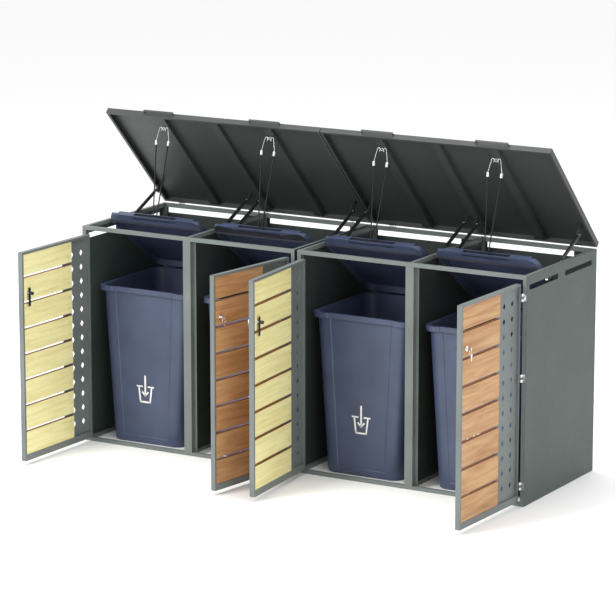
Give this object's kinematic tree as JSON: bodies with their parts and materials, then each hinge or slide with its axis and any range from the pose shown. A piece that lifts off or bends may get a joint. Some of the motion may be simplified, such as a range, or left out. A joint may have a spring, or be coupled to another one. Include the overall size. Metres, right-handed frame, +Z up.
{
  "type": "recycling bin station",
  "caption": "Free-standing steel bin shed with slatted doors, gas-sprung roof lids and wheeled bins, standing open.",
  "frame": {"origin": "middle of the footprint, on the ground", "axes": "+X along the length, to the right seen from the doors; +Y to the rear; +Z up"},
  "size_m": [2.6378, 1.4282, 1.7765],
  "materials": {
    "paint": "anthracite powder coat, satin",
    "roof_paint": "anthracite powder coat, satin",
    "boards": "oiled softwood outside, pale inside",
    "bin": "fine-grained moulded plastic",
    "wheels": "matt",
    "chrome": "bright plated",
    "strut_black": "gloss black",
    "strut_rod": "ground",
    "rope": "braided cord",
    "zinc": "zinc plated"
  },
  "bodies": {
    "root": {"corner_posts": "paint", "centre_posts": "paint", "top_rails": "paint", "base_rails": "paint", "anchor_plates": "paint", "joining_bolts": "zinc", "side_panels": "paint", "partition_panels": "paint", "rear_panels": "paint", "door_hinge_post_leaves": "chrome", "roof_hinge_frame_leaves": "zinc", "hinge_pins": "chrome", "strut_frame_brackets": "paint", "bin_1_body": "bin", "bin_2_body": "bin", "bin_3_body": "bin", "bin_4_body": "bin"},
    "roof_left": {"roof_left_sheet": "roof_paint", "roof_left_ribs": "roof_paint", "roof_left_grips": "roof_paint", "roof_left_hinge_leaves": "zinc", "roof_left_rope_hooks": "zinc", "rope_1": "rope", "rope_2": "rope"},
    "strut_rods_left": {"strut_rods_left": "strut_rod"},
    "strut_cylinders_left": {"strut_cylinders_left": "strut_black"},
    "roof_right": {"roof_right_sheet": "roof_paint", "roof_right_ribs": "roof_paint", "roof_right_grips": "roof_paint", "roof_right_hinge_leaves": "zinc", "roof_right_rope_hooks": "zinc", "rope_3": "rope", "rope_4": "rope"},
    "strut_rods_right": {"strut_rods_right": "strut_rod"},
    "strut_cylinders_right": {"strut_cylinders_right": "strut_black"},
    "bin_lid_1": {"bin_1_lid": "bin"},
    "bin_wheels_1": {"bin_1_wheels": "wheels"},
    "bin_lid_2": {"bin_2_lid": "bin"},
    "bin_wheels_2": {"bin_2_wheels": "wheels"},
    "bin_lid_3": {"bin_3_lid": "bin"},
    "bin_wheels_3": {"bin_3_wheels": "wheels"},
    "bin_lid_4": {"bin_4_lid": "bin"},
    "bin_wheels_4": {"bin_4_wheels": "wheels"},
    "door_1": {"door_1_frame": "paint", "door_1_boards": "boards", "door_1_lock_body": "chrome"},
    "lock_1": {"door_1_key_and_cam": "chrome"},
    "door_2": {"door_2_frame": "paint", "door_2_boards": "boards", "door_2_lock_body": "chrome"},
    "lock_2": {"door_2_key_and_cam": "chrome"},
    "door_3": {"door_3_frame": "paint", "door_3_boards": "boards", "door_3_lock_body": "chrome"},
    "lock_3": {"door_3_key_and_cam": "chrome"},
    "door_4": {"door_4_frame": "paint", "door_4_boards": "boards", "door_4_lock_body": "chrome"},
    "lock_4": {"door_4_key_and_cam": "chrome"}
  },
  "joints": [
    {"name": "roof_left_hinge", "type": "hinge", "parent": "root", "child": "roof_left", "pos_m": [0, 0.4075, 1.172], "axis": [-1, 0, 0], "range_deg": [-45.1, 0], "deforming": ["rope_1", "rope_2"]},
    {"name": "strut_left_tilt", "type": "hinge", "parent": "root", "child": "strut_rods_left", "pos_m": [0, -0.098, 1.096], "axis": [1, 0, 0], "range_deg": [-18.25, 0]},
    {"name": "strut_left_slide", "type": "slide", "parent": "strut_rods_left", "child": "strut_cylinders_left", "axis": [0, 0.91, 0.4147], "range_m": [-0.0556, 0]},
    {"name": "roof_right_hinge", "type": "hinge", "parent": "root", "child": "roof_right", "pos_m": [0, 0.4075, 1.172], "axis": [-1, 0, 0], "range_deg": [-45.1, 0], "deforming": ["rope_3", "rope_4"]},
    {"name": "strut_right_tilt", "type": "hinge", "parent": "root", "child": "strut_rods_right", "pos_m": [0, -0.098, 1.096], "axis": [1, 0, 0], "range_deg": [-18.25, 0]},
    {"name": "strut_right_slide", "type": "slide", "parent": "strut_rods_right", "child": "strut_cylinders_right", "axis": [0, 0.91, 0.4147], "range_m": [-0.0556, 0]},
    {"name": "bin_lid_1_hinge", "type": "hinge", "parent": "root", "child": "bin_lid_1", "pos_m": [-0.9835, 0.262, 0.85], "axis": [-1, 0, 0], "range_deg": [-35.6, 0]},
    {"name": "bin_wheels_1_spin", "type": "hinge", "parent": "root", "child": "bin_wheels_1", "pos_m": [-0.9835, 0.225, 0.1], "axis": [1, 0, 0], "continuous": true},
    {"name": "bin_lid_2_hinge", "type": "hinge", "parent": "root", "child": "bin_lid_2", "pos_m": [-0.3335, 0.262, 0.85], "axis": [-1, 0, 0], "range_deg": [-35.6, 0]},
    {"name": "bin_wheels_2_spin", "type": "hinge", "parent": "root", "child": "bin_wheels_2", "pos_m": [-0.3335, 0.225, 0.1], "axis": [1, 0, 0], "continuous": true},
    {"name": "bin_lid_3_hinge", "type": "hinge", "parent": "root", "child": "bin_lid_3", "pos_m": [0.3335, 0.262, 0.85], "axis": [-1, 0, 0], "range_deg": [-35.6, 0]},
    {"name": "bin_wheels_3_spin", "type": "hinge", "parent": "root", "child": "bin_wheels_3", "pos_m": [0.3335, 0.225, 0.1], "axis": [1, 0, 0], "continuous": true},
    {"name": "bin_lid_4_hinge", "type": "hinge", "parent": "root", "child": "bin_lid_4", "pos_m": [0.9835, 0.262, 0.85], "axis": [-1, 0, 0], "range_deg": [-35.6, 0]},
    {"name": "bin_wheels_4_spin", "type": "hinge", "parent": "root", "child": "bin_wheels_4", "pos_m": [0.9835, 0.225, 0.1], "axis": [1, 0, 0], "continuous": true},
    {"name": "door_1_hinge", "type": "hinge", "parent": "root", "child": "door_1", "pos_m": [-1.2885, -0.406, 0.655], "axis": [0, 0, -1], "range_deg": [-91.7, 18.3]},
    {"name": "lock_1_turn", "type": "hinge", "parent": "door_1", "child": "lock_1", "pos_m": [-1.28577, -0.95432, 0.913], "axis": [0.9996, -0.0297, 0], "range_deg": [-90, 0]},
    {"name": "door_2_hinge", "type": "hinge", "parent": "root", "child": "door_2", "pos_m": [-0.0285, -0.406, 0.655], "axis": [0, 0, 1], "range_deg": [-81.7, 8.3]},
    {"name": "lock_2_turn", "type": "hinge", "parent": "door_2", "child": "lock_2", "pos_m": [-0.12641, -0.94552, 0.913], "axis": [0.9895, -0.1444, 0], "range_deg": [-90, 0]},
    {"name": "door_3_hinge", "type": "hinge", "parent": "root", "child": "door_3", "pos_m": [0.0285, -0.406, 0.655], "axis": [0, 0, -1], "range_deg": [-85.2, 4.8]},
    {"name": "lock_3_turn", "type": "hinge", "parent": "door_3", "child": "lock_3", "pos_m": [0.09329, -0.95049, 0.913], "axis": [0.9965, 0.0837, 0], "range_deg": [-90, 0]},
    {"name": "door_4_hinge", "type": "hinge", "parent": "root", "child": "door_4", "pos_m": [1.2885, -0.406, 0.655], "axis": [0, 0, 1], "range_deg": [-88.5, 21.5]},
    {"name": "lock_4_turn", "type": "hinge", "parent": "door_4", "child": "lock_4", "pos_m": [1.25516, -0.95331, 0.913], "axis": [0.9997, -0.0262, 0], "range_deg": [-90, 0]}
  ],
  "couplings": [
    {"joint": "strut_left_tilt", "follows": "roof_left_hinge", "ratio": 0.4024},
    {"joint": "strut_left_slide", "follows": "roof_left_hinge", "m_per_rad": 0.07},
    {"joint": "strut_right_tilt", "follows": "roof_right_hinge", "ratio": 0.4024},
    {"joint": "strut_right_slide", "follows": "roof_right_hinge", "m_per_rad": 0.07},
    {"joint": "bin_lid_1_hinge", "follows": "roof_left_hinge", "ratio": 0.7871},
    {"joint": "bin_lid_2_hinge", "follows": "roof_left_hinge", "ratio": 0.7871},
    {"joint": "bin_lid_3_hinge", "follows": "roof_right_hinge", "ratio": 0.7871},
    {"joint": "bin_lid_4_hinge", "follows": "roof_right_hinge", "ratio": 0.7871}
  ]
}
